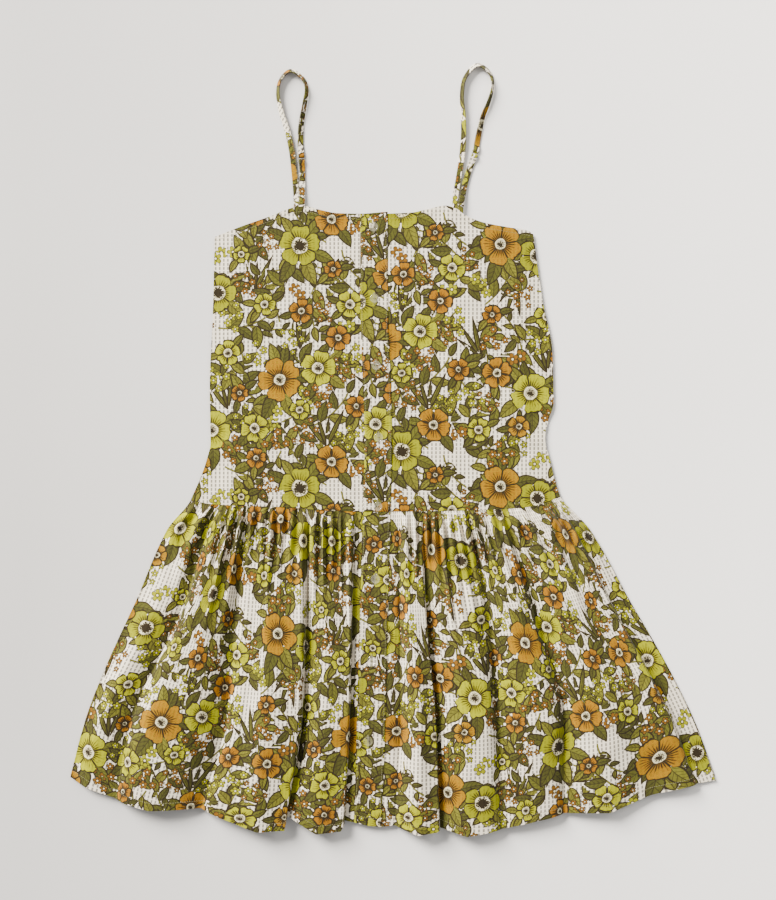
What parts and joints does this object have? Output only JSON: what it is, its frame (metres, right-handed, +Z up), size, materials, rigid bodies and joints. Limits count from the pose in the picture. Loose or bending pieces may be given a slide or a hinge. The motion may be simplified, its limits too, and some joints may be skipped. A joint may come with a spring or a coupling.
{
  "type": "sundress",
  "caption": "Sleeveless camisole sundress laid flat: button-front bodice on narrow adjustable straps, gathered dropped-waist skirt.",
  "frame": {"origin": "centre of the dress's bounding box, on the surface that it lies on", "axes": "+X across the dress from the wearer's right side to the left, +Y from the hem towards the straps, +Z up out of the surface, through the front"},
  "size_m": [0.773, 0.9242, 0.0183],
  "materials": {
    "printed_cotton": "matt printed cotton with a woven dobby check",
    "clear_resin": "clear polished resin"
  },
  "bodies": {
    "root": {"bodice_back": "printed_cotton", "skirt_back": "printed_cotton", "bodice_front_right": "printed_cotton", "bodice_front_left": "printed_cotton", "skirt_front_right": "printed_cotton", "skirt_front_left": "printed_cotton", "button_band_bodice": "printed_cotton", "button_band_skirt": "printed_cotton", "strap_right": "printed_cotton", "strap_left": "printed_cotton", "strap_tail_right": "printed_cotton", "strap_tail_left": "printed_cotton", "strap_slider_right": "clear_resin", "strap_slider_left": "clear_resin", "button_1": "clear_resin", "button_2": "clear_resin", "button_3": "clear_resin", "button_4": "clear_resin", "button_5": "clear_resin", "button_6": "clear_resin", "button_7": "clear_resin", "button_8": "clear_resin"}
  },
  "joints": []
}
